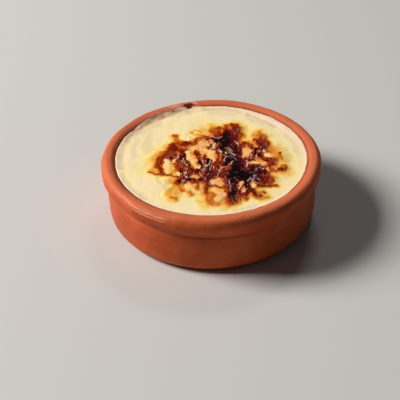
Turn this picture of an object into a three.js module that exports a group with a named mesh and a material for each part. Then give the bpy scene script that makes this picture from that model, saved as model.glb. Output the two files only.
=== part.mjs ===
// Oven-baked rice pudding in its round terracotta bowl.
// Millimetres, +Z up. The origin is the centre of the bowl's underside, so the part stands on Z = 0.
// Two solids: the bowl, and the set pudding that fills it to just under the crest of the lip.

import * as THREE from 'three';

// Driving dimensions of the bowl.
const bowlRadius = 60; // outermost, at the lip's outer face
const bowlHeight = 36; // underside to the crest of the lip
const lipWidth = 8; // lip's outer face to the edge of the pudding
const lipFaceHeight = 1.8; // upright part of the lip's outer face
const lipRoundWidth = 3.9; // the lip rounds over from its crest to its outer face
const lipRoundDrop = 4.4;
const lipSlopeWidth = 3.6; // slope from the crest in to the pudding
const lipOverhang = 2.8; // how far the lip stands out from the wall
const beadDrop = 9.1; // crest of the lip to the small bead under it
const grooveDrop = 11.8; // crest of the lip to the groove that the turning tool left
const grooveDepth = 0.4;
const wallTaper = 0.3; // the wall leans in by this much towards the foot
const footRound = 6.5; // rounding between the wall and the underside
const floorThickness = 6;
const wallThickness = 6.5; // at the bottom of the hollow
const hollowRound = 9; // rounding between the inner wall and the inner floor

// Driving dimensions of the pudding.
const fillDrop = 1.4; // crest of the lip to the edge of the pudding
const sideGap = 0.3; // clearance between the pudding and the wall
const edgeRound = 0.9; // rounding at the edge of the skin
const skinDome = 0.35; // the skin stands this much higher in the middle than near the wall

// How finely the round shapes are divided.
const turns = 80;
const arcSteps = 4;
const skinRings = 16;

const wallRadius = bowlRadius - lipOverhang;
const mouthRadius = bowlRadius - lipWidth;
const fillHeight = bowlHeight - fillDrop;
const hollowRadius = wallRadius - wallTaper - wallThickness;

const clay = new THREE.MeshStandardMaterial({ color: 0xc4623a, roughness: 0.8, metalness: 0 });
const custard = new THREE.MeshStandardMaterial({ color: 0xf6dfa9, roughness: 0.45, metalness: 0 });

// Points of a circular or elliptical arc in a lathe profile, as (radius, height) pairs.
function arc(centreR, centreZ, radiusR, radiusZ, startDeg, endDeg, steps = arcSteps) {
  return Array.from({ length: steps + 1 }, (_, i) => {
    const angle = THREE.MathUtils.degToRad(THREE.MathUtils.lerp(startDeg, endDeg, i / steps));
    return new THREE.Vector2(centreR + radiusR * Math.cos(angle), centreZ + radiusZ * Math.sin(angle));
  });
}

// A profile turned about the Z axis. It runs from the axis, out, up and back to the axis.
function turned(profile) {
  return new THREE.LatheGeometry(profile, turns).rotateX(Math.PI / 2);
}

function footProfile() {
  const footRadius = wallRadius - wallTaper - footRound;
  return [new THREE.Vector2(0, 0), ...arc(footRadius, footRound, footRound, footRound, -90, 0)];
}

// The wall's groove, the bead above it and the hollow curve that runs out to the lip.
function waistProfile() {
  const grooveZ = bowlHeight - grooveDrop;
  const beadZ = bowlHeight - beadDrop;
  const beadRadius = wallRadius + 0.7;
  const faceFootZ = bowlHeight - lipRoundDrop - lipFaceHeight;
  return [
    new THREE.Vector2(wallRadius, grooveZ - 1.5),
    new THREE.Vector2(wallRadius - grooveDepth, grooveZ),
    new THREE.Vector2(beadRadius - 0.3, beadZ - 0.9),
    new THREE.Vector2(beadRadius, beadZ),
    new THREE.Vector2(beadRadius + 0.4, beadZ + 1),
    new THREE.Vector2(bowlRadius - 0.35, faceFootZ - 0.8),
    new THREE.Vector2(bowlRadius, faceFootZ),
  ];
}

// Over the lip: the rounded outer edge, the crest, and the slope that falls to the pudding.
function lipProfile() {
  const slopeStart = mouthRadius + lipSlopeWidth;
  const roundCentreR = bowlRadius - lipRoundWidth;
  const roundCentreZ = bowlHeight - lipRoundDrop;
  const slope = Array.from({ length: arcSteps + 1 }, (_, i) => {
    const t = i / arcSteps;
    return new THREE.Vector2(slopeStart - lipSlopeWidth * t, bowlHeight - fillDrop * t ** 1.6);
  });
  return [...arc(roundCentreR, roundCentreZ, lipRoundWidth, lipRoundDrop, 0, 90), ...slope];
}

function hollowProfile() {
  const roundCentreR = hollowRadius - hollowRound;
  const roundCentreZ = floorThickness + hollowRound;
  return [
    new THREE.Vector2(mouthRadius - 0.4, fillHeight - 2),
    ...arc(roundCentreR, roundCentreZ, hollowRound, hollowRound, 0, -90),
    new THREE.Vector2(0, floorThickness),
  ];
}

function makeBowl() {
  const profile = [...footProfile(), ...waistProfile(), ...lipProfile(), ...hollowProfile()];
  const bowl = new THREE.Mesh(turned(profile), clay);
  bowl.name = 'bowl';
  return bowl;
}

// Blisters of the browned skin. x, y and radius are shares of the mouth's radius, height is in millimetres.
const blisters = [
  { name: 'back tuft', x: 0.24, y: 0.48, radius: 0.13, height: 0.6 },
  { name: 'back tuft, left', x: 0.05, y: 0.43, radius: 0.12, height: 0.5 },
  { name: 'spine, back', x: 0.15, y: 0.2, radius: 0.15, height: 0.7 },
  { name: 'spine, middle', x: 0.22, y: -0.08, radius: 0.14, height: 0.6 },
  { name: 'spine, front', x: 0.28, y: -0.36, radius: 0.19, height: 0.85 },
  { name: 'spine, foot', x: 0.22, y: -0.66, radius: 0.12, height: 0.45 },
  { name: 'right arm', x: 0.52, y: -0.38, radius: 0.16, height: 0.6 },
  { name: 'right patch', x: 0.62, y: -0.18, radius: 0.13, height: 0.4 },
  { name: 'right ridge', x: 0.5, y: 0.12, radius: 0.15, height: 0.6 },
  { name: 'left arm', x: -0.25, y: 0.21, radius: 0.12, height: 0.5 },
  { name: 'left patch', x: -0.45, y: -0.03, radius: 0.17, height: 0.55 },
  { name: 'middle fold', x: -0.08, y: -0.25, radius: 0.15, height: 0.6 },
  { name: 'front left patch', x: -0.27, y: -0.4, radius: 0.15, height: 0.5 },
  { name: 'front patch', x: -0.04, y: -0.62, radius: 0.12, height: 0.4 },
];

// Height of the skin above the fill height at a point, in millimetres.
function skinRelief(x, y) {
  const share = Math.min(Math.hypot(x, y) / mouthRadius, 1);
  let height = skinDome * (1 - share ** 2);
  for (const blister of blisters) {
    const distance = Math.hypot(x / mouthRadius - blister.x, y / mouthRadius - blister.y);
    height += blister.height * Math.exp(-((distance / (blister.radius * 0.6)) ** 2));
  }
  return height * (1 - share ** 12);
}

function puddingProfile() {
  const radius = mouthRadius - 0.4 - sideGap;
  const roundRadius = hollowRound - sideGap;
  const roundCentreR = hollowRadius - hollowRound;
  const edgeCentreR = radius - edgeRound;
  const skin = Array.from({ length: skinRings }, (_, i) => {
    const share = 1 - (i + 1) / skinRings;
    return new THREE.Vector2(edgeCentreR * share, fillHeight);
  });
  return [
    new THREE.Vector2(0, floorThickness),
    ...arc(roundCentreR, floorThickness + roundRadius, roundRadius, roundRadius, -90, 0),
    ...arc(edgeCentreR, fillHeight - edgeRound, edgeRound, edgeRound, 0, 90, 3),
    ...skin,
  ];
}

function makePudding() {
  const geometry = turned(puddingProfile());
  const position = geometry.attributes.position;
  for (let i = 0; i < position.count; i += 1) {
    const onSkin = position.getZ(i) > fillHeight - 0.001;
    if (onSkin) {
      position.setZ(i, fillHeight + skinRelief(position.getX(i), position.getY(i)));
    }
  }
  geometry.computeVertexNormals();
  const pudding = new THREE.Mesh(geometry, custard);
  pudding.name = 'pudding';
  return pudding;
}

const bakedPudding = new THREE.Group();
bakedPudding.name = 'baked_rice_pudding';
bakedPudding.add(makeBowl(), makePudding());

export default bakedPudding;
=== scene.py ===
"""Looks for a baked rice pudding in its clay bowl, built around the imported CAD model.

The bowl is turned again at a finer pitch, with the marks of the wheel and of the hand. The pudding gets
a skin whose relief and browning are worked out on one fine grid from the lines and patches listed below.
Lengths are in millimetres, except in the studio and in the shaders, where they are in metres. X runs to
the right, Y away from the viewer and Z up, and the origin is the middle of the bowl's underside.
"""

import math

import bpy
import numpy as np
from mathutils import Matrix, Vector


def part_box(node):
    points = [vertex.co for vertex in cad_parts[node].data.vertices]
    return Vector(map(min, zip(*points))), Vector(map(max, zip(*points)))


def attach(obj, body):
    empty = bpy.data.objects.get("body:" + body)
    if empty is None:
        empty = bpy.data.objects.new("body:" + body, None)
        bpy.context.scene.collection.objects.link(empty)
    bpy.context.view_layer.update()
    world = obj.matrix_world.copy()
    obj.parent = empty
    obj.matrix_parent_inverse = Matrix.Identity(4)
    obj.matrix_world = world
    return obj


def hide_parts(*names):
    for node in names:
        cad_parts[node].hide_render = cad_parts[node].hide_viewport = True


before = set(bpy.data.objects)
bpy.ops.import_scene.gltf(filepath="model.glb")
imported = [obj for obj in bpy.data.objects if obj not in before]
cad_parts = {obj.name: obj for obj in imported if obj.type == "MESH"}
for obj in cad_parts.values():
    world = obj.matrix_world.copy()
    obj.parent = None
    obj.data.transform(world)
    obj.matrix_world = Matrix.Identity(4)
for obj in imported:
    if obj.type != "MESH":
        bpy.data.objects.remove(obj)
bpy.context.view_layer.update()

MM = 0.001
bowl_low, bowl_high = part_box("bowl")
pudding_low, pudding_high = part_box("pudding")

# Sizes of the bowl, from the CAD model's boxes and its wall sections.
LIP_RADIUS = (bowl_high.x - bowl_low.x) / 2 / MM
BOWL_HEIGHT = bowl_high.z / MM
FLOOR_HEIGHT = pudding_low.z / MM
PUDDING_RADIUS = (pudding_high.x - pudding_low.x) / 2 / MM
LIP_WIDTH = 8.0
LIP_ROUND_WIDTH = 3.9  # the lip rounds over from its crest to its upright face
LIP_ROUND_DROP = 4.4
MOUTH_RADIUS = LIP_RADIUS - LIP_WIDTH
WALL_RADIUS = LIP_RADIUS - 2.8
FOOT_ROUND = 6.5
FILL_DROP = 1.4
FILL_HEIGHT = BOWL_HEIGHT - FILL_DROP
SLOPE_WIDTH = 3.6  # slope from the lip's crest in to the pudding
WALL_THICKNESS = 6.8  # at the top of the wall
WALL_TAPER = 0.3  # the wall leans in by this much towards the foot
HOLLOW_ROUND = 9.0

# ---------------------------------------------------------------- where the skin is browned and folded, and where highlights and shade are painted on it
# Places and widths are hundredths of the mouth's radius. Levels and strengths run from 0 to 1.

# scorched lines and patches; name, level of browning, half width, line
SCORCH = [
    ("back tuft", 0.64, 5, [(27, 52), (28, 46), (28, 38), (28, 30)]),
    ("back fibre left", 0.56, 2.8, [(18, 57), (19, 50)]),
    ("back fibre middle", 0.62, 2.6, [(25, 58), (26, 50)]),
    ("back fibre right", 0.56, 1.6, [(30, 58), (31, 49)]),
    ("spine top", 0.82, 4.8, [(20, 44), (21, 36), (21, 30)]),
    ("spine core", 1.03, 6.6, [(17, 36), (16, 26), (15, 16)]),
    ("spine right side", 0.78, 5.5, [(23, 27), (25, 15), (27, 5), (28, -3)]),
    ("left tuft", 0.49, 6, [(3, 49), (5, 42), (7, 36)]),
    ("left tuft arm", 0.52, 2.6, [(10, 54), (11, 46), (10, 38)]),
    ("cross bar", 1.00, 5, [(1, 27), (6, 28), (12, 29)]),
    ("loop", 0.72, 2.2, [(0, 26), (-2, 20), (-2, 13), (1, 9), (5, 5)]),
    ("loop inside", 0.70, 3, [(4, 20), (3, 13)]),
    ("spine left leg", 0.86, 3.2, [(9, 20), (10, 12), (12, 5), (14, 0)]),
    ("spine middle", 0.97, 5.5, [(19, 10), (21, 2), (22, -4)]),
    ("left streak", 0.62, 2, [(8, 6), (8, -2), (8, -10)]),
    ("middle knot", 0.92, 4.2, [(17, -6), (15, -12), (14, -18)]),
    ("spine below", 1.06, 6, [(23, -6), (25, -14), (25, -25), (26, -36)]),
    ("spine below, right", 0.80, 4.5, [(31, -6), (31, -15), (33, -25)]),
    ("heart", 1.05, 9.2, [(26, -33), (29, -43), (35, -43), (38, -36)]),
    ("heart, upper right", 0.90, 4.5, [(41, -24), (46, -24)]),
    ("spine foot", 1.00, 4.8, [(20, -40), (21, -52), (21, -63), (19, -70)]),
    ("spine toe", 0.80, 4, [(18, -72), (19, -77)]),
    ("spine toe end", 0.60, 3, [(18, -80), (17, -83)]),
    ("left of spine", 0.68, 4, [(11, -26), (13, -34), (14, -43)]),
    ("left streaks", 0.66, 3.8, [(4, -9), (6, -15), (5, -21)]),
    ("left of spine, dark", 0.78, 4, [(1, -30), (5, -33), (10, -38)]),
    ("front line", 0.60, 1.6, [(1, -53), (6, -55), (12, -57), (16, -58)]),
    ("front right link", 0.72, 1.8, [(36, -50), (42, -53), (47, -56), (57, -56)]),
    ("front right link end", 0.55, 1.6, [(57, -56), (64, -55)]),
    ("under heart", 0.74, 3.5, [(33, -50), (35, -56)]),
    ("right arm", 0.88, 4.6, [(44, -40), (47, -46), (52, -46)]),
    ("right arm side", 0.72, 3.4, [(55, -44), (55, -38)]),
    ("right blister", 0.90, 4, [(48, -28), (51, -31), (53, -27)]),
    ("right arm neck", 0.80, 3.2, [(49, -34), (47, -38)]),
    ("right brown", 0.66, 4.4, [(57, -7), (60, -15), (58, -23), (57, -30)]),
    ("right brown spot", 0.76, 3.2, [(64, -14), (62, -19)]),
    ("right amber", 0.50, 3.4, [(62, -29), (68, -29), (73, -29), (74, -22)]),
    ("right dark speck", 0.88, 1.4, [(69, -27), (71, -27)]),
    ("right ridge", 0.68, 4.6, [(55, 25), (53, 19), (56, 12)]),
    ("right ridge side", 0.60, 2.2, [(61, 25), (60, 17), (59, 10)]),
    ("right ridge foot", 0.74, 3.8, [(51, 12), (56, 10), (56, 4)]),
    ("right ridge left side", 0.85, 2.6, [(45, 10), (44, 5), (46, 0), (49, -3)]),
    ("right ridge tail", 0.85, 2.8, [(50, 0), (53, -6), (56, -11)]),
    ("right tuft", 0.38, 3.6, [(52, 42), (51, 35), (53, 31)]),
    ("right tuft middle", 0.47, 1.6, [(54, 39), (55, 33)]),
    ("right tuft side", 0.38, 2.2, [(57, 38), (58, 32)]),
    ("right tuft speck", 0.60, 1.4, [(48, 29), (47, 25)]),
    ("roof left", 0.64, 3, [(36, 21), (33, 17), (32, 11)]),
    ("roof right", 0.66, 3, [(37, 21), (41, 17), (43, 12)]),
    ("roof wall", 0.80, 1.8, [(31, 8), (30, 2), (29, -4)]),
    ("hanging fibre 1", 0.72, 1.4, [(41, -1), (41, -7), (39, -13)]),
    ("hanging fibre 2", 0.74, 1.6, [(45, -2), (44, -8), (43, -13)]),
    ("pink blister edge", 0.84, 2.2, [(28, -56), (27, -63), (29, -68), (34, -67)]),
    ("pink blister right", 0.78, 2.6, [(34, -55), (38, -61), (40, -67), (43, -71)]),
    ("front feet", 0.72, 1.4, [(24, -72), (28, -72)]),
    ("front speck", 0.58, 1.6, [(32, -76), (34, -75)]),
    ("front right speck", 0.50, 1.6, [(44, -66), (51, -65)]),
    ("front right olive", 0.40, 2.6, [(49, -75), (52, -74)]),
    ("right gold", 0.35, 4.5, [(66, 8), (67, 2), (68, -6)]),
    ("right gold edge", 0.47, 2.2, [(72, 4), (73, -3), (73, -9)]),
    ("left block", 0.70, 5, [(-28, 22), (-24, 22)]),
    ("left arm", 0.53, 2.6, [(-20, 19), (-17, 27), (-13, 33), (-8, 35), (-3, 33)]),
    ("left arm under", 0.42, 4, [(-15, 22), (-12, 28), (-5, 30)]),
    ("left tuft fibre", 0.46, 2.6, [(-37, 40), (-36, 33), (-34, 27), (-32, 22)]),
    ("left edge", 0.72, 3, [(-39, 22), (-38, 16), (-36, 10)]),
    ("left speck", 0.58, 2.2, [(-43, 22), (-43, 20)]),
    ("left patch", 0.66, 5, [(-41, 14), (-43, 7), (-47, 1)]),
    ("left patch right", 0.66, 4, [(-33, 12), (-30, 7), (-29, 0)]),
    ("left patch foot", 0.70, 4, [(-38, 6), (-37, 0), (-41, -4)]),
    ("left end", 0.62, 3.8, [(-50, -1), (-54, -6), (-53, -13)]),
    ("left end tail", 0.64, 2.6, [(-56, -14), (-54, -20), (-52, -27), (-51, -31)]),
    ("thin line", 0.63, 1.1, [(-63, -26), (-58, -30), (-50, -33), (-42, -33.5), (-35, -37)]),
    ("left stem", 0.86, 3, [(-31, -4), (-27, -11), (-25, -18)]),
    ("left stem side", 0.60, 4, [(-35, -7), (-34, -14), (-35, -21)]),
    ("front left patch", 0.76, 4.5, [(-29, -25), (-22, -25), (-16, -28)]),
    ("front left body", 0.72, 5.5, [(-28, -30), (-28, -38), (-31, -44)]),
    ("front left right", 0.70, 3.4, [(-22, -36), (-20, -42), (-17, -47)]),
    ("front left side", 0.54, 2.2, [(-35, -38), (-36, -45), (-34, -50)]),
    ("front left foot", 0.44, 2, [(-33, -54), (-31, -59), (-25, -59), (-22, -62), (-21, -67)]),
    ("front left drip", 0.56, 2, [(-16, -51), (-15, -57)]),
    ("olive blot", 0.36, 2.4, [(-42, -56), (-43, -60)]),
    ("front left spot", 0.41, 2.6, [(-41, -70), (-37, -72)]),
    ("inner stack left", 0.63, 2.4, [(-15, 9), (-16, 3), (-13, -2), (-15, -8)]),
    ("inner stack right", 0.66, 2.4, [(-8, 6), (-8, 2), (-6, -4), (-8, -8)]),
    ("middle fold left", 0.82, 2.8, [(-11, -11), (-11, -17), (-14, -24)]),
    ("middle fold right", 0.80, 2.2, [(-6, -6), (-3, -11), (-2, -18), (0, -25)]),
    ("middle black", 0.90, 3, [(-10, -21), (-4, -21)]),
    ("middle grey", 0.80, 4.5, [(-11, -27), (-6, -28)]),
    ("purple", 0.86, 4.4, [(-2, -29), (-4, -36), (-2, -43)]),
    ("purple left", 0.80, 3, [(-12, -34), (-12, -42), (-7, -46)]),
    ("purple foot", 0.80, 2.4, [(-3, -45), (-3, -52)]),
    ("red stem", 0.62, 2.6, [(-4, -54), (-7, -60), (-7, -64)]),
    ("orange drop", 0.47, 4.6, [(-3, -66), (-1, -71), (-4, -78)]),
    ("orange drop foot", 0.36, 2.4, [(-2, -82), (6, -83)]),
    ("far curl", 0.34, 1.6, [(-17, 41), (-20, 46), (-15, 50), (-10, 46)]),
    ("far curl tail", 0.46, 1, [(-14, 41), (-8, 38), (-1, 34)]),
]

# places inside the browned zone where the skin stayed pale; name, how toasted, half width, line
PALE = [
    ("window", 0.60, 3.4, [(37, 9), (37, 0)]),
    ("window foot", 0.60, 2.2, [(34, 0), (33, -4)]),
    ("inner window", 0.60, 3.8, [(0, 3), (2, -3), (3, -6)]),
    ("inner window, left", 0.35, 3.6, [(-23, 4), (-21, -6), (-18, -14), (-16, -21)]),
    ("left window", 0.25, 3.6, [(-46, -10), (-45, -18), (-44, -26)]),
    ("square", 0.55, 3.6, [(-18, -36), (-15, -36)]),
    ("right bar", 0.50, 2.6, [(39, -16), (46, -16), (53, -17)]),
    ("right bar end", 0.60, 2.4, [(52, -19), (54, -15)]),
    ("right point", 0.35, 3, [(58, -1), (62, -4)]),
    ("front window", 0.60, 2.8, [(28, -51), (27, -57)]),
    ("front window, left", 0.75, 4, [(2, -48), (7, -48)]),
    ("front left window", 0.45, 5, [(-27, -52), (-22, -54)]),
    ("front gold", 0.70, 3, [(4, -61), (9, -68), (5, -75)]),
    ("front right window", 0.45, 2, [(39, -52), (41, -57)]),
    ("notch", 0.05, 4.6, [(-28, 36), (-24, 32)]),
    ("arch", 0.82, 6, [(-15, 16), (-9, 22), (-5, 22)]),
    ("arch foot", 0.80, 4.6, [(-10, 16), (-5, 9)]),
    ("left gap", 0.40, 2.4, [(-36, -30), (-33, -34)]),
]

# golden ground under the scorched lines; x, y, radius
GROUND = [
    (-52, -2, 17), (-40, 12, 16), (-24, 22, 13), (-6, 34, 17),
    (12, 45, 16), (26, 52, 12), (50, 36, 12), (44, 18, 18),
    (64, 8, 14), (70, -8, 13), (68, -28, 14), (56, -44, 13),
    (38, -62, 15), (18, -72, 13), (2, -72, 14), (-20, -52, 16),
    (-40, -64, 10), (-40, -30, 13), (-56, -22, 13), (10, 5, 34),
    (20, -30, 38), (-20, -15, 30),
]

# where the burnt skin is crumpled; x, y, radius
CRUMPLED = [
    (-32, -5, 11), (-6, -22, 15), (-26, -36, 13), (-10, -4, 9),
    (50, 6, 11), (51, -30, 9), (46, -50, 10), (33, -63, 10),
    (17, 5, 9), (70, -26, 7), (4, 18, 7), (14, -12, 8),
]

# raised folds, each with a painted highlight along it; half width, strength of the fold and of its
# painted highlight, line
FOLDS_AND_HIGHLIGHTS = [
    (0.8, 0.76, [(-10, 41), (0, 37), (4, 33), (8, 32), (14, 34)]),
    (0.6, 1.00, [(8, 23), (6, 17), (4, 11)]),
    (0.7, 0.68, [(-1, 20), (3, 22), (3, 17)]),
    (0.7, 0.88, [(16, 13), (19, 10), (21, 6)]),
    (0.6, 0.66, [(19, 14), (22, 8), (23, 4)]),
    (0.7, 0.77, [(20, 5), (22, 1), (25, -2)]),
    (0.6, 0.66, [(17, 8), (19, 3), (21, -1)]),
    (0.6, 0.97, [(9, 8), (11, 3), (14, -3)]),
    (0.7, 0.89, [(14, -3), (17, -6), (20, -4), (24, -6), (26, -10)]),
    (0.6, 0.83, [(14, -8), (13, -13)]),
    (0.7, 0.89, [(22, -14), (19, -20), (16, -23), (9, -24)]),
    (0.7, 1.00, [(3, -24), (8, -28), (7, -35), (6, -41)]),
    (0.7, 1.00, [(-29, -5), (-28, -10), (-27, -16), (-25, -19)]),
    (1, 0.76, [(-40, -5), (-35, -3), (-32, 1)]),
    (0.8, 0.83, [(-10, -10), (-7, -15), (-3, -17)]),
    (0.7, 0.83, [(-1, -10), (-1, -18)]),
    (1.4, 0.53, [(-13, -26), (-8, -28), (-6, -24)]),
    (0.7, 0.76, [(-2, -22), (-2, -26)]),
    (0.6, 0.76, [(-3, -33), (-4, -36)]),
    (0.6, 0.83, [(-8, -40), (-8, -44)]),
    (0.7, 0.83, [(-31, -48), (-28, -44), (-24, -46), (-22, -49)]),
    (0.7, 0.83, [(-28, -35), (-26, -40), (-22, -38)]),
    (0.7, 0.83, [(-33, -28), (-32, -34)]),
    (0.6, 0.62, [(18, -46), (18, -54), (18, -63)]),
    (0.6, 0.62, [(14, -40), (15, -44)]),
    (0.7, 0.88, [(36, -48), (40, -46), (44, -43)]),
    (0.6, 0.72, [(38, -51), (42, -48)]),
    (0.6, 0.72, [(37, -45), (40, -42)]),
    (0.6, 0.83, [(43, -38), (45, -42), (47, -45)]),
    (0.6, 0.97, [(41, -48), (44, -52), (48, -54), (52, -54)]),
    (0.6, 0.83, [(45, -30), (47, -27), (51, -26), (54, -28)]),
    (0.7, 0.83, [(36, -12), (38, -17), (36, -25)]),
    (0.6, 0.83, [(43, 0), (42, -8)]),
    (0.7, 0.83, [(47, -1), (50, -7)]),
    (0.8, 0.85, [(50, 14), (53, 13)]),
    (1.2, 0.57, [(48, 9), (51, 5), (54, 2)]),
    (1.4, 0.53, [(31, -60), (33, -64)]),
    (0.7, 1.00, [(29, -65), (35, -62)]),
    (0.7, 0.97, [(25, 26), (29, 20), (29, 15)]),
]

# places where the burnt sugar looks plum-coloured; half width, strength, line
PLUM = [
    (5, 0.90, [(31, -60), (35, -64)]),
    (3.4, 0.80, [(47, -28), (53, -30)]),
    (4, 0.80, [(-2, -33), (-4, -42)]),
    (5, 0.70, [(24, 46), (24, 30)]),
    (5, 0.70, [(31, -4), (33, -18)]),
    (3, 0.40, [(50, 10), (52, 4)]),
    (3, 0.40, [(-28, -34), (-26, -41)]),
]

# folds and hollows in the cream near the rim, sunk a little and darkened with painted shade; half width,
# strength, line
HOLLOWS_AND_SHADE = [
    (2.6, 0.90, [(-90, 32), (-84, 47), (-73, 62), (-60, 75)]),
    (3, 0.85, [(-62, 74), (-50, 81), (-40, 87), (-32, 91)]),
    (5.5, 0.42, [(-78, 48), (-68, 58), (-56, 66)]),
    (5, 0.40, [(-30, 86), (-20, 90)]),
    (1.6, 0.40, [(-33, 80), (-27, 86), (-25, 92)]),
    (1.4, 0.35, [(-20, 83), (-16, 88), (-10, 90)]),
    (5, 0.28, [(-63, 12), (-66, 30), (-62, 50)]),
    (3.4, 0.30, [(-80, 2), (-80, 20), (-75, 38)]),
    (3.4, 0.60, [(-92, -16), (-94.5, 5), (-91, 26), (-85, 42)]),
    (2.6, 0.38, [(-91, -28), (-85, -44), (-76, -58), (-66, -70)]),
    (3.4, 0.65, [(-4, 94), (10, 94), (24, 91), (36, 87)]),
    (2.4, 0.32, [(2, 86), (14, 85), (30, 81)]),
    (2.6, 0.60, [(44, 81), (55, 73), (64, 64), (72, 55)]),
    (2.2, 0.40, [(46, 70), (54, 64), (60, 60)]),
    (3, 0.30, [(93, 2), (91, 20), (85, 37)]),
    (1.8, 0.40, [(20, -94), (30, -91), (42, -86)]),
    (2.2, 0.30, [(-42, -42), (-47, -50), (-46, -58)]),
    (1.8, 0.30, [(-56, -38), (-50, -46)]),
]

# yellow-green bruises in the skin; half width, strength, line
BRUISES = [
    (2.2, 0.60, [(10, -92), (12, -93)]),
    (2, 0.55, [(-14, -77), (-12, -79)]),
    (2.2, 0.50, [(50, -75), (53, -74)]),
    (2.4, 0.45, [(42, 49), (40, 43)]),
    (1.6, 0.55, [(66, 40), (66, 34)]),
    (2, 0.60, [(-42, -56), (-43, -61)]),
    (4, 0.30, [(-66, -6), (-67, -16), (-64, -26)]),
    (3, 0.30, [(-45, -38), (-38, -42)]),
    (3, 0.35, [(77, 12), (79, 0), (79, -12)]),
    (2, 0.40, [(-10, -91), (-8, -92)]),
    (2.4, 0.30, [(-46, 27), (-52, 16)]),
    (2.4, 0.30, [(-18, 50), (-13, 49)]),
]


# ---------------------------------------------------------------- noise and small helpers


def gradient_noise(x, y, seed):
    """Smooth noise from about -1 to 1, with one cell for each unit of x and y."""
    rng = np.random.default_rng(seed)
    order = rng.permutation(256)
    turn = rng.uniform(0, 2 * np.pi, 256)
    column = np.floor(x).astype(int)
    row = np.floor(y).astype(int)
    u = x - column
    v = y - row
    fade_u = u**3 * (6 * u**2 - 15 * u + 10)
    fade_v = v**3 * (6 * v**2 - 15 * v + 10)

    def corner(i, j):
        angle = turn[order[(order[(column + i) % 256] + row + j) % 256]]
        return np.cos(angle) * (u - i) + np.sin(angle) * (v - j)

    near = corner(0, 0) * (1 - fade_u) + corner(1, 0) * fade_u
    far = corner(0, 1) * (1 - fade_u) + corner(1, 1) * fade_u
    return 1.4 * (near * (1 - fade_v) + far * fade_v)


def rough_noise(x, y, seed, octaves):
    """Noise with finer and finer detail added to it."""
    total = np.zeros_like(x)
    for octave in range(octaves):
        total += gradient_noise(x * 2**octave, y * 2**octave, seed + octave) / 2**octave
    return total


def crease_noise(x, y, seed, octaves):
    """From 0 to 1, with sharp crests at 1, as on a crumpled sheet."""
    total = np.zeros_like(x)
    weight = 0
    for octave in range(octaves):
        crest = 1 - np.abs(gradient_noise(x * 2**octave, y * 2**octave, seed + octave))
        total += crest**2 / 2**octave
        weight += 1 / 2**octave
    return total / weight


def flakes(x, y, seed):
    """Irregular flakes, one to each unit of x and y: each one's number, and a height that tilts it."""
    rng = np.random.default_rng(seed)
    size = 64
    middle = rng.uniform(0.05, 0.95, (size, size, 2))
    number = rng.uniform(0, 1, (size, size))
    tilt = rng.uniform(-1, 1, (size, size, 2))
    column = np.floor(x).astype(int)
    row = np.floor(y).astype(int)
    nearest = np.full_like(x, np.inf)
    found = np.zeros_like(x)
    height = np.zeros_like(x)
    for i in (-1, 0, 1):
        for j in (-1, 0, 1):
            cell = ((column + i) % size, (row + j) % size)
            dx = x - column - i - middle[cell][..., 0]
            dy = y - row - j - middle[cell][..., 1]
            closer = np.hypot(dx, dy) < nearest
            nearest = np.where(closer, np.hypot(dx, dy), nearest)
            found = np.where(closer, number[cell], found)
            height = np.where(closer, dx * tilt[cell][..., 0] + dy * tilt[cell][..., 1], height)
    return found, height


def smooth_step(value, low, high):
    t = np.clip((value - low) / (high - low), 0, 1)
    return t * t * (3 - 2 * t)


def distance_to_line(x, y, points):
    """Distance from each place to the nearest point of a line through the points."""
    nearest = np.full_like(x, np.inf)
    for (ax, ay), (bx, by) in zip(points[:-1], points[1:]):
        dx, dy = bx - ax, by - ay
        t = np.clip(((x - ax) * dx + (y - ay) * dy) / (dx * dx + dy * dy), 0, 1)
        nearest = np.minimum(nearest, np.hypot(x - ax - t * dx, y - ay - t * dy))
    return nearest


def angle_between(angle, middle):
    """Signed angle from middle to angle, in degrees, from -180 to 180."""
    return (angle - middle + 180) % 360 - 180


def on_ring(angle, scale):
    """Places on a circle of that radius, so that noise over them has no seam where the angle starts."""
    return scale * np.cos(np.radians(angle)), scale * np.sin(np.radians(angle))


def bump(distance):
    """A smooth hump: 1 at distance 0, near 0 from distance 2."""
    return np.exp(-(distance**2))


def make_mesh(name, vertices_mm, faces):
    mesh = bpy.data.meshes.new(name)
    mesh.from_pydata((np.asarray(vertices_mm) * MM).tolist(), [], faces)
    mesh.update()
    mesh.shade_smooth()
    piece = bpy.data.objects.new(name, mesh)
    bpy.context.scene.collection.objects.link(piece)
    return piece


def add_attribute(piece, name, values):
    attribute = piece.data.attributes.new(name, "FLOAT", "POINT")
    attribute.data.foreach_set("value", np.asarray(values, np.float32).ravel())


def add_map(piece, coordinates):
    """A UV map with one place for each corner of each face."""
    layer = piece.data.uv_layers.new(name="OFBake")
    layer.data.foreach_set("uv", np.asarray(coordinates, np.float32).ravel())


# ---------------------------------------------------------------- the bowl

BOWL_TURNS = 400  # faces round the bowl
SEEN_STEP = 0.33  # spacing of the points along the bowl's section, where it shows
HIDDEN_STEP = 3.0  # and under the bowl and the pudding

# Marks on the clay, by their angle from +X towards +Y in degrees.
SMEAR_ANGLE = -125
NICK_ANGLE = -127
SCAB_ANGLE = 103


def arc(centre_r, centre_z, radius_r, radius_z, start, end, count=12):
    """Points on part of an ellipse, with start and end in degrees."""
    angles = np.radians(np.linspace(start, end, count))
    return [(centre_r + radius_r * math.cos(a), centre_z + radius_z * math.sin(a)) for a in angles]


def softened(points, rounds=3):
    """The points as a smooth curve: each corner is cut a few times."""
    for _ in range(rounds):
        cut = [points[0]]
        for (ar, az), (br, bz) in zip(points[:-1], points[1:]):
            cut.append((0.75 * ar + 0.25 * br, 0.75 * az + 0.25 * bz))
            cut.append((0.25 * ar + 0.75 * br, 0.25 * az + 0.75 * bz))
        points = cut + [points[-1]]
    return points


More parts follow.
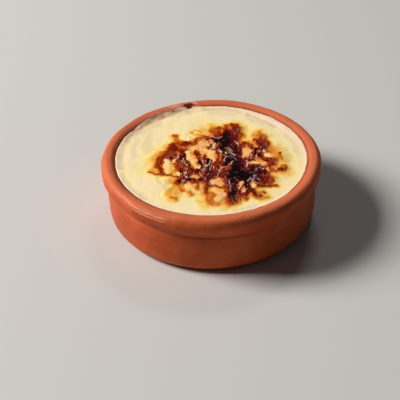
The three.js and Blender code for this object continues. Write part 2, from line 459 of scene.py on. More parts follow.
def waist_section():
    """From the wall, over the groove and the bead, out to the lip's upright face."""
    top = BOWL_HEIGHT
    return [
        (WALL_RADIUS, 10.0),
        (WALL_RADIUS, top - 14.5),
        (WALL_RADIUS - 0.1, top - 12.8),
        (WALL_RADIUS - 0.8, top - 11.8),
        (WALL_RADIUS + 0.3, top - 10.4),
        (WALL_RADIUS + 1.0, top - 9.2),
        (WALL_RADIUS + 0.8, top - 8.4),
        (LIP_RADIUS - 0.7, top - 7.6),
        (LIP_RADIUS - 0.1, top - 6.4),
        (LIP_RADIUS, top - 5.4),
        (LIP_RADIUS, top - LIP_ROUND_DROP),
    ]


def slope_height(radius):
    """Height of the lip's inner slope, which falls from the crest to the pudding."""
    t = np.clip((MOUTH_RADIUS + SLOPE_WIDTH - radius) / SLOPE_WIDTH, 0, 1)
    return BOWL_HEIGHT - FILL_DROP * t**1.6


def inner_section():
    """The lip's inner slope, and the hollow from there to the middle of the inner floor."""
    radii = np.linspace(MOUTH_RADIUS + SLOPE_WIDTH, MOUTH_RADIUS, 12)
    slope = [(r, float(slope_height(r))) for r in radii]
    corner = (WALL_RADIUS - WALL_THICKNESS - HOLLOW_ROUND, FLOOR_HEIGHT + HOLLOW_ROUND)
    hollow = [slope[-1], (MOUTH_RADIUS - 0.4, FILL_HEIGHT - 2)]
    hollow += arc(*corner, HOLLOW_ROUND, HOLLOW_ROUND, 0, -90)
    return slope, hollow + [(0, FLOOR_HEIGHT)]


def evenly(points, spacing):
    """The line through the points, as evenly spaced points."""
    points = np.array(points)
    along = np.concatenate([[0], np.cumsum(np.hypot(*np.diff(points, axis=0).T))])
    even = np.linspace(0, along[-1], int(along[-1] / spacing) + 1)
    return np.stack([np.interp(even, along, points[:, 0]), np.interp(even, along, points[:, 1])], -1)


def bowl_section():
    """The bowl's section from axis to axis: each point's radius, height and distance along it."""
    foot_radius = WALL_RADIUS - WALL_TAPER - FOOT_ROUND
    underside = [(0, 0), (foot_radius, 0)]
    seen = arc(foot_radius, FOOT_ROUND, FOOT_ROUND, FOOT_ROUND, -90, 0)
    seen += softened(waist_section())
    lip_centre = (LIP_RADIUS - LIP_ROUND_WIDTH, BOWL_HEIGHT - LIP_ROUND_DROP)
    seen += arc(*lip_centre, LIP_ROUND_WIDTH, LIP_ROUND_DROP, 0, 90)
    slope, hollow = inner_section()
    seen += slope[1:]
    points = evenly(underside, HIDDEN_STEP)
    points = np.concatenate([points, evenly(seen, SEEN_STEP)[1:], evenly(hollow, HIDDEN_STEP)[1:]])
    along = np.concatenate([[0], np.cumsum(np.hypot(*np.diff(points, axis=0).T))])
    return points[:, 0], points[:, 1], along


def section_normals(radius, height):
    slope_r = np.gradient(radius)
    slope_z = np.gradient(height)
    length = np.hypot(slope_r, slope_z) + 1e-9
    return slope_z / length, -slope_r / length


def lip_shift(angle):
    """How far the hand-turned lip runs out and up from the true circle at each angle, in millimetres."""
    out = 0.35 * rough_noise(*on_ring(angle, 1.7), 8, 2)
    up = 0.28 * rough_noise(*on_ring(angle, 1.4), 9, 2)
    return out, up


def clay_relief(angle, radius, height, along):
    """How far the clay stands out from the plain turned section, in millimetres."""
    outside = smooth_step(height, 0.5, 5) * smooth_step(radius, MOUTH_RADIUS + 0.5, MOUTH_RADIUS + 2.5)
    drift = 1.2 * gradient_noise(*on_ring(angle, 1.5), 3)
    marks = 0.09 * gradient_noise(along * 0.42 + drift, 0 * along + 0.5, 5)
    marks += 0.045 * gradient_noise(along * 1.1 + drift, 0 * along + 0.5, 6)
    dents = 0.10 * rough_noise(angle * 0.16, along * 0.16, 12, 3)
    return outside * (marks + dents)


def smear_ridges_and_highlight(angle, radius, height):
    """Two thin ridges of clay left along the outer edge of the lip at the front left, from 0 to 1. The
    clay material paints a pale highlight along them.
    """
    turn = angle_between(angle, SMEAR_ANGLE)
    reach = smooth_step(13.5 - np.abs(turn), 0, 4)
    wander = 0.25 * gradient_noise(angle * 0.35, 0 * angle + 0.5, 45)
    path = BOWL_HEIGHT - 1.5 - 0.035 * turn + wander
    outer = smooth_step(radius, LIP_RADIUS - 4.5, LIP_RADIUS - 2.5)
    upper = bump((height - path) / 0.38)
    lower = 0.8 * bump((height - path + 1.25 + wander) / 0.32) * smooth_step(turn, -12, -3)
    return outer * reach * np.maximum(upper, lower)


def clay_nick(angle, height):
    """A small dent low on the lip's face at the front left, from 0 to 1."""
    return bump(angle_between(angle, NICK_ANGLE) / 0.9) * bump((height - BOWL_HEIGHT + 8.5) / 1.6)


def on_top(height):
    """1 on the top of the lip, and 0 lower down."""
    return smooth_step(height, BOWL_HEIGHT - 4, BOWL_HEIGHT - 2)


def scab(angle, radius, height):
    """The crust of boiled-over milk on the lip at the back left, from 0 to 1."""
    torn = 0.35 * rough_noise(angle * 0.45, radius * 0.8, 47, 2)
    reach = np.hypot(angle_between(angle, SCAB_ANGLE) / 3.4, (radius - MOUTH_RADIUS - 1.8) / 2.1) + torn
    return smooth_step(1.3 - reach, 0, 0.8) * on_top(height)


def burnt_milk_and_shade_on_clay(angle, radius, height):
    """Where the clay is darkened, from 0 to 1: painted contact shade along the pudding's edge, painted
    shade on the lip's inner slope at the left, and boiled-over milk at the scab.
    """
    broken = 0.8 + 0.3 * rough_noise(angle * 0.2, radius * 0.5, 41, 3)
    # painted contact shade: a dark line on the clay along the pudding's edge
    line = 0.75 * broken * bump((radius - MOUTH_RADIUS - 0.5) / 0.55)
    # painted shade on the lip's inner slope at the left, which faces away from the light
    left = 0.5 * bump(angle_between(angle, 185) / 45) * smooth_step(MOUTH_RADIUS + 3.2 - radius, 0, 2)
    return on_top(height) * np.clip(np.maximum(np.maximum(line, left), scab(angle, radius, height)), 0, 1)


def milk_on_clay(angle, radius, height):
    """A pale dried film that the pudding left on the lip at the back left, from 0 to 1."""
    patchy = 0.6 + 0.6 * rough_noise(angle * 0.5, radius * 1.2, 43, 3)
    smear = 0.8 * bump(angle_between(angle, 111) / 4) * bump((radius - MOUTH_RADIUS - 3) / 2.2)
    film = 0.7 * bump(angle_between(angle, 122) / 16) * bump((radius - MOUTH_RADIUS - 0.8) / 1.4)
    blob = bump(angle_between(angle, 98.5) / 1.6) * bump((radius - MOUTH_RADIUS - 3) / 1.8)
    return on_top(height) * np.clip(patchy * np.maximum(np.maximum(smear, film), blob), 0, 1)


def bowl_faces(rows):
    """Faces over that many rows of vertices, closed at both ends by a middle vertex, and their UV map."""
    bottom = BOWL_TURNS * rows
    top = bottom + 1
    faces, places = [], []
    for i in range(BOWL_TURNS):
        here, after = i * rows, (i + 1) % BOWL_TURNS * rows
        left, right = i / BOWL_TURNS, (i + 1) / BOWL_TURNS
        faces.append((bottom, after, here))
        places += [(left, 0), (right, 1 / (rows + 1)), (left, 1 / (rows + 1))]
        for j in range(rows - 1):
            faces.append((here + j, after + j, after + j + 1, here + j + 1))
            low, high = (j + 1) / (rows + 1), (j + 2) / (rows + 1)
            places += [(left, low), (right, low), (right, high), (left, high)]
        faces.append((here + rows - 1, after + rows - 1, top))
        places += [(left, rows / (rows + 1)), (right, rows / (rows + 1)), (left, 1)]
    return faces, places


def make_bowl():
    radius, height, along = bowl_section()
    normal_r, normal_z = section_normals(radius, height)
    angle = np.arange(BOWL_TURNS) * 360 / BOWL_TURNS
    ring_angle, ring_radius = np.meshgrid(angle, radius[1:-1], indexing="ij")
    _, ring_height = np.meshgrid(angle, height[1:-1], indexing="ij")
    _, ring_along = np.meshgrid(angle, along[1:-1], indexing="ij")
    relief = clay_relief(ring_angle, ring_radius, ring_height, ring_along)
    # smear: the ridges' shape, and the mask of their painted highlight
    smear = smear_ridges_and_highlight(ring_angle, ring_radius, ring_height)
    relief += 0.55 * smear - 0.5 * clay_nick(ring_angle, ring_height)
    # burnt: the scab's burnt milk, with painted shade along the pudding and on the left inner slope
    burnt = burnt_milk_and_shade_on_clay(ring_angle, ring_radius, ring_height)
    milk = milk_on_clay(ring_angle, ring_radius, ring_height)
    relief += 0.5 * scab(ring_angle, ring_radius, ring_height) + 0.12 * milk
    out, up = lip_shift(ring_angle)
    on_lip = smooth_step(ring_height, BOWL_HEIGHT - 10, BOWL_HEIGHT - 4)
    moved_radius = ring_radius + relief * normal_r[1:-1] + out * on_lip
    moved_height = ring_height + relief * normal_z[1:-1] + up * on_lip
    turned = np.radians(ring_angle)
    rings = np.stack([moved_radius * np.cos(turned), moved_radius * np.sin(turned), moved_height], -1)
    vertices = np.concatenate([rings.reshape(-1, 3), [[0, 0, height[0]], [0, 0, height[-1]]]])
    faces, places = bowl_faces(rings.shape[1])
    bowl = make_mesh("clay_bowl", vertices, faces)
    add_map(bowl, places)
    for name, values in (("burnt", burnt), ("milk", milk), ("smear", smear)):
        add_attribute(bowl, name, np.append(values.ravel(), [0, 0]))
    return bowl


# ---------------------------------------------------------------- the pudding's skin

SKIN_CELLS = 300  # cells across the skin each way
SCORCH_FUSION = 6  # the lower, the more do strokes that lie close run together
FLAKE_TILT = 1.0  # how steeply the flakes of burnt skin lie
SKIN_CREEP = 0.25  # the skin reaches this far into the clay, so that no gap shows


def skin_grid():
    """Places on the skin as shares of the mouth's radius: a square grid drawn out to a disc."""
    line = np.linspace(-1, 1, SKIN_CELLS + 1)
    across, deep = np.meshgrid(line, line, indexing="ij")
    ring = np.maximum(np.abs(across), np.abs(deep))
    length = np.hypot(across, deep)
    scale = np.where(length > 0, ring / np.maximum(length, 1e-9), 0)
    stretch = 0.86 + 0.14 * ring**3
    return across * scale * stretch, deep * scale * stretch


# The next five take places as the tables do, in hundredths of the mouth's radius.


def strokes(x, y, table, ragged, falloff=0.9):
    """Strength, from 0 to 1, of the soft strokes that a table lists."""
    strength = np.zeros_like(x)
    for half_width, level, line in table:
        distance = distance_to_line(x, y, line) / half_width + ragged
        strength = np.maximum(strength, level * smooth_step(0.9 + falloff / 2 - distance, 0, falloff))
    return strength


def browned_ground(x, y):
    """Where the skin is golden, and the wider place round it where the cream is yellower."""
    ground = np.zeros_like(x)
    yellow = np.zeros_like(x)
    for centre_x, centre_y, radius in GROUND:
        distance = np.hypot(x - centre_x, y - centre_y) / radius
        ground = np.maximum(ground, smooth_step(1.25 - distance, 0, 0.85))
        yellow = np.maximum(yellow, smooth_step(1.75 - distance, 0, 0.9))
    return ground, yellow


def pale_islands(x, y, ragged):
    """Where the skin stayed pale, from 0 to 1, and how toasted it is there."""
    pale = np.zeros_like(x)
    toasted = np.zeros_like(x)
    for _, level, half_width, line in PALE:
        distance = distance_to_line(x, y, line) / half_width + ragged
        strength = smooth_step(1.4 - distance, 0, 1.1)
        toasted = np.where(strength > pale, level, toasted)
        pale = np.maximum(pale, strength)
    return pale, toasted


def crumpled_places(x, y):
    """Where the burnt skin is crumpled into flakes that catch the light, from 0 to 1."""
    crumpled = np.zeros_like(x)
    for centre_x, centre_y, radius in CRUMPLED:
        distance = np.hypot(x - centre_x, y - centre_y) / radius
        crumpled = np.maximum(crumpled, smooth_step(1.3 - distance, 0, 0.7))
    return crumpled


def scorch(x, y, ragged):
    """The scorched lines and patches, each with an amber glow round it."""
    total = np.zeros_like(x)
    for _, level, half_width, line in SCORCH:
        distance = distance_to_line(x, y, line) / half_width
        core = level * smooth_step(2.3 - distance - 0.6 * ragged, 0, 1.9)
        glow = 0.64 * level * smooth_step(4.2 - distance - 0.8 * ragged, 0, 3.6)
        total += np.maximum(core, glow) ** SCORCH_FUSION
    burn = total ** (1 / SCORCH_FUSION)
    return np.minimum(burn, 0.8 + 0.6 * (burn - 0.8))


def work_out_skin(x, y):
    """What the skin is like at each place: each entry is a field over the grid."""
    warped_x = x + 0.016 * rough_noise(x * 9, y * 9, 11, 4)
    warped_y = y + 0.020 * rough_noise(x * 9, y * 9, 31, 4)
    torn_x = warped_x + 0.012 * rough_noise(x * 30, y * 30, 15, 2)
    torn_y = warped_y + 0.012 * rough_noise(x * 30, y * 30, 17, 2)
    flake, tilt = flakes(torn_x * 15, torn_y * 11, 19)
    chip, chip_tilt = flakes(torn_x * 28, torn_y * 20, 29)
    torn = flake - 0.5 + 0.35 * (chip - 0.5)
    ragged = 0.8 * rough_noise(x * 14, y * 9, 51, 3) + 0.45 * torn
    mottle = rough_noise(x * 8, y * 6, 71, 3)
    crumple = crease_noise(x * 17, y * 10, 91, 2) - 0.62
    place = 100 * warped_x, 100 * warped_y
    ground, yellow = browned_ground(*place)
    burn = np.maximum(scorch(*place, ragged), ground * (0.27 + 0.12 * mottle))
    burn = np.maximum(burn, 0.10 * yellow)
    pale, toasted = pale_islands(*place, 0.4 * ragged + 0.9 * torn)
    island = toasted * (0.32 + 0.20 * rough_noise(x * 9, y * 7, 57, 2))
    burn = burn * (1 - pale) + np.clip(island, 0.02, 0.40) * pale
    inner = smooth_step(burn, 0.3, 0.55)
    black = smooth_step(burn, 0.84, 0.97)
    crumpled = crumpled_places(100 * x, 100 * y) * (1 - black)
    patchy = 0.09 * rough_noise(x * 13, y * 9, 55, 3) + 0.08 * gradient_noise(warped_x * 42, y * 8, 58)
    burn = burn + inner * (1 - black) * (patchy + 0.06 * crumple + (0.04 + 0.20 * crumpled) * torn)
    # painted highlights on the crumpled flakes, as small pale flecks: less browned and tinted peach
    painted_fleck_highlight = inner * crumpled * smooth_step(chip, 0.84, 0.92) * smooth_step(burn, 0.86, 0.74)
    burn = burn - 0.45 * painted_fleck_highlight
    blush = np.clip(0.7 + 0.5 * rough_noise(x * 10, y * 8, 59, 2), 0.15, 1)
    wrinkles = crease_noise(warped_x * 21, warped_y * 13, 95, 2)
    half_burnt = smooth_step(burn, 0.42, 0.6) * smooth_step(burn, 0.95, 0.8)
    peach = pale * blush * smooth_step(toasted, 0, 0.6) * smooth_step(toasted, 1.15, 0.65)
    return {
        "burn": np.clip(burn, 0, 1),
        "ground": ground,
        "pale": pale,
        "peach": np.maximum(peach, 0.7 * painted_fleck_highlight),
        "crumple": crumple,
        # crest: raised wrinkle crests on the half-burnt skin, which the material paints with a highlight
        "crest": smooth_step(wrinkles, 0.84, 0.95) * half_burnt,
        "facets": inner * (0.12 + crumpled) * (1.4 * tilt + 0.5 * chip_tilt),
        "black": black,
        "crumpled": crumpled,
        # fold: the raised folds, and the mask of their painted highlight
        "fold": strokes(*place, FOLDS_AND_HIGHLIGHTS, 0.4 * ragged) * np.clip(0.8 + 0.6 * torn, 0, 1),
        "plum": strokes(*place, PLUM, 0.4 * ragged, 1.6) * smooth_step(burn, 0.5, 0.75),
        # hollows near the rim: sunk, and darkened with painted shade
        "shaded_hollows": strokes(*place, HOLLOWS_AND_SHADE, 0.4 * ragged, 2.2),
        "bruise": strokes(*place, BRUISES, 0.4 * ragged, 2.2) * smooth_step(burn, 0.5, 0.25),
        # rim: the pinkish line along the clay, and the painted sheen near the rim at the right
        "rim": rim_line_and_sheen(x, y),
        "stain": rim_stain(x, y),
    }


def rim_line_and_sheen(x, y):
    """The pinkish line of dried skin along the clay, broken up round the rim, and a wider band of painted
    sheen on the skin near the rim at the right.
    """
    share = np.hypot(x, y)
    angle = np.degrees(np.arctan2(y, x))
    broken = 0.75 + 0.35 * rough_noise(angle * 0.25, share * 20, 81, 3)
    # painted sheen: a wide pale band on the skin near the rim at the right
    painted_sheen = 0.7 * bump(angle_between(angle, 42) / 36) * bump((share - 0.955) / 0.04)
    return np.clip(np.maximum(broken * bump((share - 0.986) / 0.009), painted_sheen), 0, 1)


def rim_stain(x, y):
    """The brownish film along the rim at the back left, from 0 to 1."""
    share = np.hypot(x, y)
    angle = np.degrees(np.arctan2(y, x))
    ragged = 0.035 * rough_noise(angle * 0.16, share * 9, 85, 3)
    broken = 0.8 + 0.5 * rough_noise(angle * 0.2, share * 16, 83, 3)
    film = np.clip(bump(angle_between(angle, 126) / 30) * broken, 0, 1)
    return film * smooth_step(share + ragged, 0.90, 0.96)


def skin_edge(angle):
    """Radius of the skin's edge. It climbs the lip's slope at the back left, where it boiled over."""
    edge = MOUTH_RADIUS + SKIN_CREEP + 0.2 * rough_noise(*on_ring(angle, 9), 61, 3)
    climb = 1.3 * bump(angle_between(angle, 106) / 8) + 0.6 * bump(angle_between(angle, 128) / 14)
    return edge + climb * (1 + 0.4 * gradient_noise(angle * 0.3, 0 * angle + 0.5, 63))


def skin_relief(x, y, skin):
    """Height of the skin above the fill height, in millimetres."""
    share = np.hypot(x, y)
    height = 0.35 * (1 - share**2) + 0.20 * rough_noise(x * 3.2, y * 3.2, 21, 2)
    height += 0.06 * rough_noise(x * 11, y * 11, 23, 3)
    height += 0.45 * skin["ground"] + 0.30 * skin["pale"]
    browned = smooth_step(skin["burn"], 0.28, 0.62)
    rough = browned * (1 - 0.75 * skin["black"]) * (0.5 + 0.5 * skin["crumpled"])
    height += 0.35 * browned + 0.8 * rough * skin["crumple"] + 0.6 * skin["fold"]
    height += 0.35 * rough * rough_noise(x * 12, y * 9, 25, 1)
    height += 0.3 * skin["crest"] + FLAKE_TILT * skin["facets"]
    height -= 0.42 * skin["shaded_hollows"]
    height += 0.22 * skin["rim"]
    return height * smooth_step(1.001 - share, 0, 0.012)


def make_skin():
    """The whole pudding as one closed mesh: the skin, the side hidden by the bowl, and the underside."""
    x, y = skin_grid()
    skin = work_out_skin(x, y)
    share = np.hypot(x, y)
    angle = np.degrees(np.arctan2(y, x))
    stretch = 1 + (skin_edge(angle) / MOUTH_RADIUS - 1) * smooth_step(share, 0.93, 1)
    place_x = x * stretch * MOUTH_RADIUS
    place_y = y * stretch * MOUTH_RADIUS
    radius = np.hypot(place_x, place_y)
    film = 0.3 * smooth_step(1 - share, 0, 0.01) - 0.1
    on_clay = np.where(radius > MOUTH_RADIUS, slope_height(radius) - FILL_HEIGHT + film, 0)
    out, up = lip_shift(angle)
    near_lip = smooth_step(share, 0.8, 1)
    height = FILL_HEIGHT + skin_relief(x, y, skin) + on_clay + up * near_lip
    place_x = place_x + out * near_lip * np.cos(np.radians(angle))
    place_y = place_y + out * near_lip * np.sin(np.radians(angle))
    vertices = np.stack([place_x, place_y, height], -1).reshape(-1, 3)
    cells = SKIN_CELLS + 1
    index = np.arange(cells * cells).reshape(cells, cells)
    quads = np.stack([index[:-1, :-1], index[1:, :-1], index[1:, 1:], index[:-1, 1:]], -1).reshape(-1, 4)
    rim = np.concatenate([index[:-1, 0], index[-1, :-1], index[:0:-1, -1], index[0, :0:-1]])
    rim_angle = np.arctan2(vertices[rim, 1], vertices[rim, 0])
    hidden = [
        (PUDDING_RADIUS, FILL_HEIGHT - 1.4),
        (PUDDING_RADIUS - 1, FLOOR_HEIGHT + HOLLOW_ROUND),
        (PUDDING_RADIUS - HOLLOW_ROUND, FLOOR_HEIGHT),
    ]
    faces = quads.tolist()
    rings = [rim]
    for ring_radius, ring_height in hidden:
        ring = ring_radius * np.stack([np.cos(rim_angle), np.sin(rim_angle), 0 * rim_angle], -1)
        ring[:, 2] = ring_height
        rings.append(np.arange(len(rim)) + len(vertices))
        vertices = np.concatenate([vertices, ring])
    for upper, lower in zip(rings[:-1], rings[1:]):
        bands = np.stack([upper, lower, np.roll(lower, -1), np.roll(upper, -1)], -1)
        faces += bands.tolist()
    centre = len(vertices)
    vertices = np.concatenate([vertices, [[0, 0, FLOOR_HEIGHT]]])
    last = rings[-1]
    faces += [(int(b), int(a), centre) for a, b in zip(last, np.roll(last, -1))]
    pudding = make_mesh("pudding_skin", vertices, faces)
    add_map(pudding, skin_map(pudding, vertices, rings))
    extra = len(vertices) - x.size
    for name in ("burn", "fold", "crest", "plum", "shaded_hollows", "bruise", "peach", "rim", "stain"):
        add_attribute(pudding, name, np.append(skin[name].ravel(), np.zeros(extra)))
    return pudding


def skin_map(pudding, vertices, rings):
    """The skin as seen from above, the side as bands round it, and the underside small in a corner."""
    place = vertices[:, :2] * 0.40 / MOUTH_RADIUS
    rim_angle = np.arctan2(vertices[rings[0], 1], vertices[rings[0], 0])
    direction = np.stack([np.cos(rim_angle), np.sin(rim_angle)], -1)
    for ring, reach in zip(rings[1:], (0.44, 0.47, 0.49)):
        place[ring] = direction * reach
    corners = np.empty(len(pudding.data.loops), int)
    pudding.data.loops.foreach_get("vertex_index", corners)
    coordinates = place[corners] + 0.5
    underside = corners[-3 * len(rings[0]):]
    coordinates[-3 * len(rings[0]):] = vertices[underside, :2] * 0.05 / PUDDING_RADIUS + 0.07
    return coordinates


# ---------------------------------------------------------------- node helpers


def shade(red, green, blue):
    """A colour given as display values from 0 to 255, as the linear colour that the shader takes."""
    linear = [((c / 255 + 0.055) / 1.055) ** 2.4 for c in (red, green, blue)]
    return (*linear, 1)


def start_material(name):
    material = bpy.data.materials.new(name)
    material.use_nodes = True
    return material, material.node_tree, material.node_tree.nodes["Principled BSDF"]


def add_node(tree, kind, sockets, **settings):
    """A node whose sockets are linked to other nodes' outputs or set to plain values."""
    node = tree.nodes.new(kind)
    for name, value in settings.items():
        setattr(node, name, value)
    for name, value in sockets.items():
        if isinstance(value, bpy.types.NodeSocket):
            tree.links.new(value, node.inputs[name])
        else:
            node.inputs[name].default_value = value
    return node


def calculate(tree, operation, first, second=0.0):
    node = add_node(tree, "ShaderNodeMath", {0: first, 1: second}, operation=operation)
    return node.outputs[0]


def rescale(tree, value, low, high, new_low=0.0, new_high=1.0):
    sockets = {0: value, 1: low, 2: high, 3: new_low, 4: new_high}
    return add_node(tree, "ShaderNodeMapRange", sockets).outputs[0]


def blend_colours(tree, share, first, second, blend="MIX"):
    sockets = {0: share, 6: first, 7: second}
    return add_node(tree, "ShaderNodeMix", sockets, data_type="RGBA", blend_type=blend).outputs[2]


def noise(tree, place, scale, detail=3.0, roughness=0.5):
    sockets = {"Vector": place, "Scale": scale, "Detail": detail, "Roughness": roughness}
    return add_node(tree, "ShaderNodeTexNoise", sockets).outputs[0]


def stretch_place(tree, place, x, y, z):
    """The place with each direction scaled, for marks that are longer one way."""
    return add_node(tree, "ShaderNodeMapping", {"Vector": place, "Scale": (x, y, z)}).outputs[0]


def attribute(tree, name):
    return add_node(tree, "ShaderNodeAttribute", {}, attribute_name=name).outputs["Fac"]


def ramp(tree, value, stops):
    node = add_node(tree, "ShaderNodeValToRGB", {0: value})
    elements = node.color_ramp.elements
    while len(elements) < len(stops):
        elements.new(0.5)
    for element, (position, colour) in zip(elements, stops):
        element.position = position
        element.color = colour
    return node.outputs[0]


def bump_node(tree, height, depth, strength=1.0, after=None):
    sockets = {"Height": height, "Distance": depth, "Strength": strength}
    if after is not None:
        sockets["Normal"] = after
    return add_node(tree, "ShaderNodeBump", sockets).outputs[0]


# ---------------------------------------------------------------- materials

CLAY = shade(203, 92, 44)
CLAY_DARK = shade(179, 73, 32)
CLAY_PALE_AND_TOP_LIGHT = shade(217, 122, 84)
CLAY_SPECK = shade(120, 48, 26)
CLAY_SMEAR_HIGHLIGHT = shade(236, 156, 120)
BURNT_CLAY_AND_SHADE = shade(92, 30, 12)
DRIED_MILK = shade(232, 180, 156)

BROWNING = [
    (0.00, shade(250, 228, 182)),
    (0.09, shade(253, 229, 158)),
    (0.17, shade(253, 214, 128)),
    (0.26, shade(246, 190, 90)),
    (0.35, shade(228, 150, 50)),
    (0.45, shade(198, 108, 22)),
    (0.55, shade(172, 68, 6)),
    (0.66, shade(144, 38, 0)),
    (0.77, shade(110, 16, 3)),
    (0.88, shade(58, 7, 6)),
    (1.00, shade(16, 3, 3)),
]
CREAM_PAINTED_SHADE = shade(188, 168, 138)
BRUISED_CREAM = shade(206, 196, 96)
PEACH_AND_FLECK_HIGHLIGHT = shade(253, 188, 134)
RIM_PINK_AND_SHEEN = shade(255, 222, 206)
RIM_STAIN = shade(170, 118, 84)
PLUM_TINT = shade(96, 14, 36)
PAINTED_FOLD_HIGHLIGHT = shade(222, 178, 164)
PAINTED_CREST_HIGHLIGHT = shade(226, 140, 100)


def clay_material():
    """Red earthenware: mottled, streaked round by the wheel, with a few specks and a little shine; paler
    on faces that point up, as painted top light; with a painted highlight on the smear ridges, painted
    shade along the pudding and on the left inner slope, and burnt milk at the scab.
    """
    material, tree, shader = start_material("terracotta")
    texture_places = add_node(tree, "ShaderNodeTexCoord", {})
    place = texture_places.outputs["Object"]
    patches = rescale(tree, noise(tree, place, 55, 3), 0.38, 0.66)
    grain = noise(tree, place, 900, 4, 0.6)
    streaks = noise(tree, stretch_place(tree, place, 20, 20, 700), 1, 3, 0.6)
    colour = blend_colours(tree, patches, CLAY_DARK, CLAY)
    # painted top light: faces that point up are made paler, the streaks stay the clay's own paler colour
    painted_top_light = add_node(tree, "ShaderNodeSeparateXYZ", {0: texture_places.outputs["Normal"]}).outputs[2]
    colour = blend_colours(tree, rescale(tree, painted_top_light, 0.2, 0.9, 0, 0.55), colour, CLAY_PALE_AND_TOP_LIGHT)
    colour = blend_colours(tree, rescale(tree, streaks, 0.5, 0.75, 0, 0.20), colour, CLAY_PALE_AND_TOP_LIGHT)
    colour = blend_colours(tree, rescale(tree, grain, 0.55, 0.75, 0, 0.3), colour, CLAY_DARK)
    dark = rescale(tree, noise(tree, place, 480, 1), 0.71, 0.76, 0, 0.4)
    colour = blend_colours(tree, dark, colour, CLAY_SPECK)
    # painted highlight along the smear ridges on the lip
    colour = tinted(tree, colour, "smear", CLAY_SMEAR_HIGHLIGHT, 0.7)
    colour = tinted(tree, colour, "milk", DRIED_MILK)
    # burnt milk at the scab, and painted shade along the pudding and on the left inner slope
    colour = tinted(tree, colour, "burnt", BURNT_CLAY_AND_SHADE)
    tree.links.new(colour, shader.inputs["Base Color"])
    tree.links.new(rescale(tree, grain, 0.3, 0.7, 0.38, 0.54), shader.inputs["Roughness"])
    shader.inputs["Specular IOR Level"].default_value = 0.16
    fine = bump_node(tree, grain, 0.00005, 0.6)
    tree.links.new(bump_node(tree, streaks, 0.00008, 0.35, fine), shader.inputs["Normal"])
    return material


def tinted(tree, colour, name, tint, strength=1.0):
    """The colour, changed towards the tint where the mesh's attribute of that name is strong."""
    share = calculate(tree, "MULTIPLY", attribute(tree, name), strength)
    return blend_colours(tree, share, colour, tint)


def skin_material():
    """Cream to caramel to burnt, by the mesh's browning, with a soft body and a sugar gloss, painted
    highlights on its folds, crests and flecks, painted shade in the hollows near the rim, and painted
    sheen near the rim at the right.
    """
    material, tree, shader = start_material("pudding_skin")
    place = add_node(tree, "ShaderNodeTexCoord", {}).outputs["Object"]
    burn = attribute(tree, "burn")
    fine = noise(tree, place, 1300, 4, 0.6)
    soft = noise(tree, place, 120, 3, 0.5)
    shift = rescale(tree, fine, 0.3, 0.7, -0.04, 0.04)
    shift = calculate(tree, "MULTIPLY", shift, rescale(tree, burn, 0.2, 0.5))
    varied = calculate(tree, "ADD", burn, shift)
    varied = calculate(tree, "ADD", varied, rescale(tree, soft, 0.4, 0.7, 0, 0.06))
    colour = ramp(tree, varied, BROWNING)
    # peach islands, and painted highlights on the crumpled flakes as pale flecks
    colour = tinted(tree, colour, "peach", PEACH_AND_FLECK_HIGHLIGHT, 0.95)
    # painted shade in the folds and hollows near the rim
    colour = tinted(tree, colour, "shaded_hollows", CREAM_PAINTED_SHADE, 0.8)
    colour = tinted(tree, colour, "bruise", BRUISED_CREAM)
    # the pinkish line along the clay, and painted sheen near the rim at the right
    colour = tinted(tree, colour, "rim", RIM_PINK_AND_SHEEN)
    colour = tinted(tree, colour, "stain", RIM_STAIN, 0.75)
    # painted highlight on the wrinkle crests
    colour = tinted(tree, colour, "crest", PAINTED_CREST_HIGHLIGHT, 0.3)
    colour = tinted(tree, colour, "plum", PLUM_TINT, 0.55)
    # painted highlight along the raised folds on the browned skin
    lit = calculate(tree, "MULTIPLY", attribute(tree, "fold"), rescale(tree, burn, 0.3, 0.7, 0, 1.1))
    colour = blend_colours(tree, lit, colour, PAINTED_FOLD_HIGHLIGHT)
    tree.links.new(colour, shader.inputs["Base Color"])
    tree.links.new(rescale(tree, burn, 0.2, 0.7, 0.42, 0.15), shader.inputs["Roughness"])
    shader.inputs["Specular IOR Level"].default_value = 0.2
    shader.inputs["Specular Tint"].default_value = (1.0, 0.82, 0.74, 1)
    shader.inputs["Subsurface Weight"].default_value = 0.1
    shader.inputs["Subsurface Radius"].default_value = (1.0, 0.6, 0.35)
    shader.inputs["Subsurface Scale"].default_value = 0.001
    tree.links.new(bump_node(tree, fine, 0.00004, 0.4), shader.inputs["Normal"])
    return material


def floor_material():
    material, _, shader = start_material("studio_floor")
    shader.inputs["Base Color"].default_value = shade(203, 201, 198)
    shader.inputs["Roughness"].default_value = 0.6
    return material


# ---------------------------------------------------------------- studio


def make_floor():
    bpy.ops.mesh.primitive_plane_add(size=6, location=(0, 0, 0))
    floor = bpy.context.object
    floor.name = "studio_floor"
    floor.data.materials.append(floor_material())


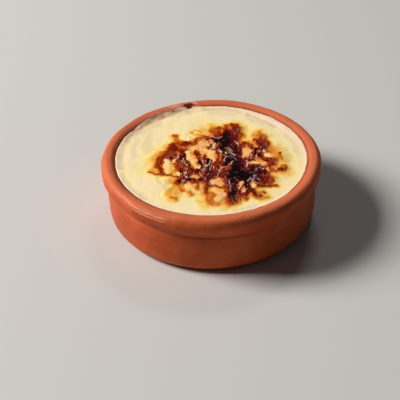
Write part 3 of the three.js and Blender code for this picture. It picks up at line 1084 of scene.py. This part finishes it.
def add_light(name, place, target, width, depth, power, colour=(1, 1, 1)):
    light = bpy.data.lights.new(name, "AREA")
    light.shape = "RECTANGLE"
    light.size = width
    light.size_y = depth
    light.energy = power
    light.color = colour
    holder = bpy.data.objects.new(name, light)
    holder.location = place
    holder.rotation_euler = (Vector(target) - Vector(place)).to_track_quat("-Z", "Y").to_euler()
    bpy.context.scene.collection.objects.link(holder)


def make_lights():
    middle = (0, 0, bowl_high.z)
    add_light("window", (-2.0, 0.3, 1.56), middle, 0.9, 0.9, 94, (1.0, 0.975, 0.94))
    add_light("back_box", (0.35, 1.3, 1.7), middle, 0.5, 0.3, 4)
    world = bpy.data.worlds.new("room")
    world.use_nodes = True
    background = world.node_tree.nodes["Background"]
    background.inputs["Color"].default_value = (0.9, 0.9, 0.9, 1)
    background.inputs["Strength"].default_value = 0.045
    bpy.context.scene.world = world


CAMERA_ELEVATION = math.radians(37.014)
CAMERA_ROLL = math.radians(-1.542)
CAMERA_DISTANCE = 8 * LIP_RADIUS * MM
CAMERA_LENS = 84.44
LOOK_AT = Vector((-0.1104 * LIP_RADIUS * MM, -0.6321 * LIP_RADIUS * MM, bowl_high.z - 0.0021))


def make_camera():
    """The photograph's viewpoint: from the front, above, and turned a little about its own axis."""
    right = Vector((1, 0, 0))
    back = Vector((0, -math.cos(CAMERA_ELEVATION), math.sin(CAMERA_ELEVATION)))
    up = back.cross(right)
    turned_right = math.cos(CAMERA_ROLL) * right + math.sin(CAMERA_ROLL) * up
    turned_up = -math.sin(CAMERA_ROLL) * right + math.cos(CAMERA_ROLL) * up
    camera = bpy.data.cameras.new("camera")
    camera.lens = CAMERA_LENS
    camera.sensor_width = 36
    camera.clip_start = 0.01
    holder = bpy.data.objects.new("camera", camera)
    turn = Matrix((turned_right, turned_up, back)).transposed().to_4x4()
    holder.matrix_world = Matrix.Translation(LOOK_AT + back * CAMERA_DISTANCE) @ turn
    bpy.context.scene.collection.objects.link(holder)
    bpy.context.scene.camera = holder


# ---------------------------------------------------------------- the scene

bowl = make_bowl()
bowl.data.materials.append(clay_material())
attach(bowl, "root")
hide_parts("bowl")

pudding = make_skin()
pudding.data.materials.append(skin_material())
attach(pudding, "root")
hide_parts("pudding")

make_floor()
make_lights()
make_camera()
bpy.context.scene.view_settings.view_transform = "Standard"
